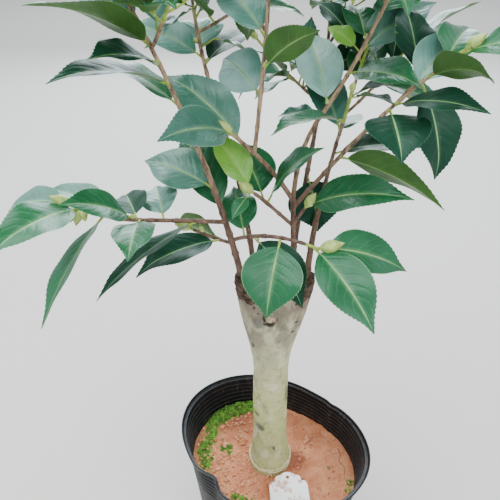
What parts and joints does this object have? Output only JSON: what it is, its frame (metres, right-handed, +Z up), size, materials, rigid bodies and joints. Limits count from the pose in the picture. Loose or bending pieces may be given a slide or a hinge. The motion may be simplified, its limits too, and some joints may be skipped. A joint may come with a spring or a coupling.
{
  "type": "camellia shrub",
  "caption": "Grafted camellia shrub with glossy leaves on thin shoots above a thick cut-back stem, planted in a black nursery pot.",
  "frame": {"origin": "centre of the pot's flat underside", "axes": "+Z up along the stem, +X to the right as the picture shows the plant, -Y towards the viewer"},
  "size_m": [0.4597, 0.3806, 0.8229],
  "materials": {
    "pot": "thin black plastic, lightly scuffed",
    "soil": "dry red clay",
    "moss": "matt moss",
    "stem": "smooth grey bark with a green tint",
    "bough": "smooth brown bark",
    "foliage": "glossy dark green leaves",
    "tag": "blank white plastic",
    "tie": "pale string"
  },
  "bodies": {
    "root": {"pot": "pot", "soil": "soil", "moss": "moss", "stem": "stem", "tag": "tag", "tie": "tie", "bough_left": "bough", "bough_left_low": "bough", "bough_left_spur": "bough", "bough_front": "bough", "bough_centre": "bough", "bough_inner": "bough", "bough_right_spur": "bough", "bough_right_high": "bough", "bough_centre_left": "bough", "bough_top_left": "bough", "bough_top": "bough", "bough_right": "bough", "bough_back_left": "bough", "bough_back": "bough", "foliage_left_top": "foliage", "foliage_left_low": "foliage", "foliage_left_inner": "foliage", "foliage_front": "foliage", "foliage_centre": "foliage", "foliage_right_low": "foliage", "foliage_right": "foliage", "foliage_centre_left": "foliage", "foliage_top_left": "foliage", "foliage_top": "foliage", "foliage_right_back": "foliage", "foliage_back_left": "foliage", "foliage_back": "foliage"}
  },
  "joints": []
}
